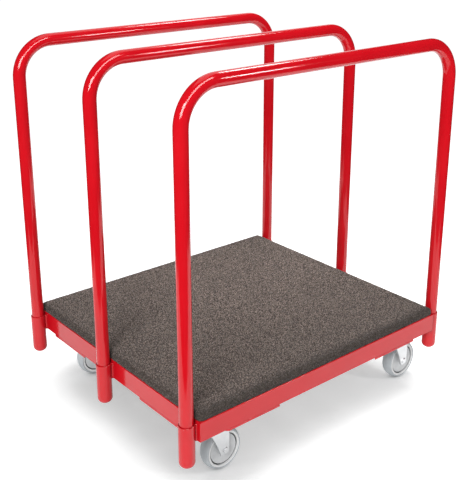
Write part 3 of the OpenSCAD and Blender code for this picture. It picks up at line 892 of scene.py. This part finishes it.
def carpet_yarn():
    material, tree, surface = start_material(
        "carpet_yarn", roughness=0.95, specular_ior_level=0.1, sheen_weight=0.25, sheen_roughness=0.6
    )
    tone = add(tree, "ShaderNodeAttribute", attribute_name="yarn_tone").outputs["Fac"]
    tip = add(tree, "ShaderNodeAttribute", attribute_name="tuft_tip").outputs["Fac"]
    traffic = cloud(tree, scale=7.0, detail=5.0)
    fleck = cloud(tree, scale=300.0, detail=1.0)
    spun = mix_colour(tree, tone, *YARN_TONES)
    flecked = mix_colour(tree, remap(tree, fleck, 0.0, FLECK_SHARE), spun, YARN_FLECK)
    worn = mix_colour(tree, remap(tree, traffic, 0.0, WORN_SHARE), flecked, YARN_WORN)
    lit = mix_colour(tree, remap(tree, tip, *ROOT_TO_TIP), YARN_ROOT, worn)
    # The yarn's colour is darkened by the painted shade along the edges and across the deck.
    shaded_yarn = add(tree, "ShaderNodeVectorMath", operation="SCALE")
    tree.links.new(lit, shaded_yarn.inputs["Vector"])
    tree.links.new(painted_shade_share(tree), shaded_yarn.inputs["Scale"])
    tree.links.new(shaded_yarn.outputs["Vector"], surface.inputs["Base Color"])
    return material


def carpet_backing():
    material, tree, surface = start_material("carpet_backing", roughness=0.95, specular_ior_level=0.1)
    weave = cloud(tree, scale=320.0, detail=2.0)
    relief(tree, surface, radius=0.0005, height=weave, distance=0.0006, strength=0.5)
    tree.links.new(mix_colour(tree, weave, *WEAVE), surface.inputs["Base Color"])
    return material


YARN = carpet_yarn()
BACKING = carpet_backing()
print("made", YARN.name, BACKING.name)

# %% [markdown]
# The backing is the skin with a thickness. A second, smaller skin could be joined to the first
# along the hem, but Solidify does just that: it grows the wall inwards, towards the board.

# %% Backing sheet
skin = carpet_skin("carpet_backing_skin")
skin.data.materials.append(BACKING)
wall = skin.modifiers.new("thickness", "SOLIDIFY")
wall.thickness = BACKING_THICK
wall.offset = -1.0
backing = baked("carpet_backing", skin, wall)

# %% [markdown]
# The pile is thousands of small open cones. They could stand in rows, but then the carpet
# would show a grid. Poisson scattering places them by chance and still keeps them apart, and
# the lean and the size of each differ a little. The pile is made in two halves, left and
# right, so that neither mesh gets too heavy.


# %% Pile tree
TUFT_SPACING = 0.0028  # metres
TUFT_RADIUS = 0.0021
TUFT_SIDES = 4
TUFT_LEAN = ((-0.4, -0.4, 0.0), (0.4, 0.4, 6.28))  # radians, with any turn about its own axis
TUFT_SCALE = ((0.8, 0.8, 0.7), (1.25, 1.25, 1.05))
TUFTS_AT_MOST = 250000  # on a square metre
LEAN_SEED, SCALE_SEED, TONE_SEED = 3, 5, 9
PILE_SEED = 11


def pile_tree():
    """Scatters tufts over a mesh, each with a tone and with its height kept from foot to tip."""
    tree, given, made = start_tree("carpet_pile", {
        "Spacing": ("Float", TUFT_SPACING),
        "Tuft Height": ("Float", PILE_HEIGHT),
        "Tuft Radius": ("Float", TUFT_RADIUS),
        "Seed": ("Int", PILE_SEED),
        "Material": ("Material", None),
    })
    scatter = add(tree, "GeometryNodeDistributePointsOnFaces", distribute_method="POISSON")
    tree.links.new(given.outputs["Geometry"], scatter.inputs["Mesh"])
    tree.links.new(given.outputs["Spacing"], scatter.inputs["Distance Min"])
    tree.links.new(given.outputs["Seed"], scatter.inputs["Seed"])
    scatter.inputs["Density Max"].default_value = TUFTS_AT_MOST
    tuft = add(tree, "GeometryNodeMeshCone", fill_type="NONE")
    tuft.inputs["Vertices"].default_value = TUFT_SIDES
    tree.links.new(given.outputs["Tuft Radius"], tuft.inputs["Radius Bottom"])
    tree.links.new(given.outputs["Tuft Height"], tuft.inputs["Depth"])
    place = add(tree, "GeometryNodeInputPosition")
    parts = add(tree, "ShaderNodeSeparateXYZ")
    tree.links.new(place.outputs["Position"], parts.inputs["Vector"])
    share = add(tree, "ShaderNodeMath", operation="DIVIDE")
    tree.links.new(parts.outputs["Z"], share.inputs[0])
    tree.links.new(given.outputs["Tuft Height"], share.inputs[1])
    rounded = add(tree, "GeometryNodeSetShadeSmooth")
    tree.links.new(tuft.outputs["Mesh"], rounded.inputs["Geometry"])
    yarn = keep_number(tree, rounded.outputs["Geometry"], "POINT", "tuft_tip", share.outputs["Value"])
    lean = add(tree, "FunctionNodeRotateRotation", rotation_space="LOCAL")
    tree.links.new(scatter.outputs["Rotation"], lean.inputs["Rotation"])
    tree.links.new(random_value(tree, "FLOAT_VECTOR", *TUFT_LEAN, LEAN_SEED), lean.inputs["Rotate By"])
    stand = add(tree, "GeometryNodeInstanceOnPoints")
    tree.links.new(scatter.outputs["Points"], stand.inputs["Points"])
    tree.links.new(yarn, stand.inputs["Instance"])
    tree.links.new(lean.outputs["Rotation"], stand.inputs["Rotation"])
    tree.links.new(random_value(tree, "FLOAT_VECTOR", *TUFT_SCALE, SCALE_SEED), stand.inputs["Scale"])
    tone = random_value(tree, "FLOAT", 0.0, 1.0, TONE_SEED)
    toned = keep_number(tree, stand.outputs["Instances"], "INSTANCE", "yarn_tone", tone)
    finish_tree(tree, given, made, toned)
    return tree


PILE = pile_tree()
print("made", PILE.name)


# %% Pile in two halves
def half_of(host, side):
    """Keeps the half of a host mesh on one side of the middle plane x = 0."""
    shape = bmesh.new()
    shape.from_mesh(host.data)
    everything = shape.verts[:] + shape.edges[:] + shape.faces[:]
    bmesh.ops.bisect_plane(
        shape, geom=everything, plane_co=(0, 0, 0), plane_no=(side, 0, 0), clear_inner=True
    )
    bmesh.ops.triangulate(shape, faces=shape.faces[:])
    shape.to_mesh(host.data)
    shape.free()
    return host


piles = []
for name, side in (("carpet_pile_left", -1), ("carpet_pile_right", 1)):
    host = half_of(carpet_skin(name + "_host"), side)
    piles.append(grow(
        name, host, PILE, spacing=TUFT_SPACING, tuft_height=PILE_HEIGHT, tuft_radius=TUFT_RADIUS,
        seed=PILE_SEED + side, material=YARN,
    ))

# %% [markdown]
# The three pieces ride on the cart and stand for the plain carpet solid.

# %% Fasten the carpet
for piece in [backing] + piles:
    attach(piece, "cart")
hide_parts("deck_carpet")

# %% [markdown]
# ## Weld beads
#
# Each socket is welded to the end rail along both sides. The solid has the plain fillets. A
# real bead has ripples, one for each dip of the rod. They are flattened balls strung along the
# fillet's face: a line for each weld, resampled to the ripple's pitch.


# %% Weld ripples
RIPPLE_PITCH = 0.0021  # metres
RIPPLE_RADIUS = 0.0029
RIPPLE_ROUNDNESS = 2  # subdivisions of a ball
RIPPLE_SCALE = ((0.42, 0.92, 0.58), (0.52, 1.08, 0.70))
RIPPLE_SEED = 4


def weld_tree():
    """Strings flattened balls along the lines of a mesh, turned to each line's facing."""
    tree, given, made = start_tree("weld_ripples", {
        "Pitch": ("Float", RIPPLE_PITCH),
        "Radius": ("Float", RIPPLE_RADIUS),
        "Material": ("Material", None),
    })
    path = add(tree, "GeometryNodeMeshToCurve")
    tree.links.new(given.outputs["Geometry"], path.inputs["Mesh"])
    evenly = add(tree, "GeometryNodeResampleCurve", mode="LENGTH")
    tree.links.new(path.outputs["Curve"], evenly.inputs["Curve"])
    tree.links.new(given.outputs["Pitch"], evenly.inputs["Length"])
    drop = add(tree, "GeometryNodeMeshIcoSphere")
    drop.inputs["Subdivisions"].default_value = RIPPLE_ROUNDNESS
    tree.links.new(given.outputs["Radius"], drop.inputs["Radius"])
    facing = add(tree, "GeometryNodeInputNamedAttribute", data_type="FLOAT_VECTOR")
    facing.inputs["Name"].default_value = "facing"
    turned = add(tree, "FunctionNodeAlignRotationToVector", axis="X", pivot_axis="Z")
    tree.links.new(facing.outputs["Attribute"], turned.inputs["Vector"])
    string = add(tree, "GeometryNodeInstanceOnPoints")
    tree.links.new(evenly.outputs["Curve"], string.inputs["Points"])
    tree.links.new(drop.outputs["Mesh"], string.inputs["Instance"])
    tree.links.new(turned.outputs["Rotation"], string.inputs["Rotation"])
    tree.links.new(random_value(tree, "FLOAT_VECTOR", *RIPPLE_SCALE, RIPPLE_SEED), string.inputs["Scale"])
    smooth = add(tree, "GeometryNodeSetShadeSmooth")
    tree.links.new(string.outputs["Instances"], smooth.inputs["Geometry"])
    finish_tree(tree, given, made, smooth.outputs["Geometry"])
    return tree


RIPPLES = weld_tree()
print("made", RIPPLES.name)

# %% Weld lines on the sockets
BEAD_OUT = 0.0020  # metres out from the end rail's face
BEAD_ASIDE = 0.0144  # metres to either side of the socket's middle
BEAD_FACING = (0.55, 0.83)  # out and aside, across the fillet's face
BEAD_MARGIN = 0.002  # metres short of the fillet's ends

weld_low, weld_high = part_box("socket_welds")
frame_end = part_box("end_rail_right")[1][0]
points, facings = [], []
for socket in [name for name in NODES if name.startswith("socket_") and name != "socket_welds"]:
    socket_low, socket_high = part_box(socket)
    middle_y = (socket_low[1] + socket_high[1]) / 2
    end = 1 if socket_high[0] > 0 else -1
    for side in (-1, 1):
        for z in (weld_low[2] + BEAD_MARGIN, weld_high[2] - BEAD_MARGIN):
            points.append((end * (frame_end + BEAD_OUT), middle_y + side * BEAD_ASIDE, z))
            facings.append((end * BEAD_FACING[0], side * BEAD_FACING[1], 0))
lines_mesh = bpy.data.meshes.new("weld_lines")
lines_mesh.from_pydata(points, [(i, i + 1) for i in range(0, len(points), 2)], [])
facing = lines_mesh.attributes.new("facing", "FLOAT_VECTOR", "POINT")
for kept, direction in zip(facing.data, facings):
    kept.vector = direction
host = bpy.data.objects.new("weld_lines", lines_mesh)
bpy.context.scene.collection.objects.link(host)
beads = grow("socket_weld_beads", host, RIPPLES, pitch=RIPPLE_PITCH, radius=RIPPLE_RADIUS, material=RED)
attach(beads, "cart")
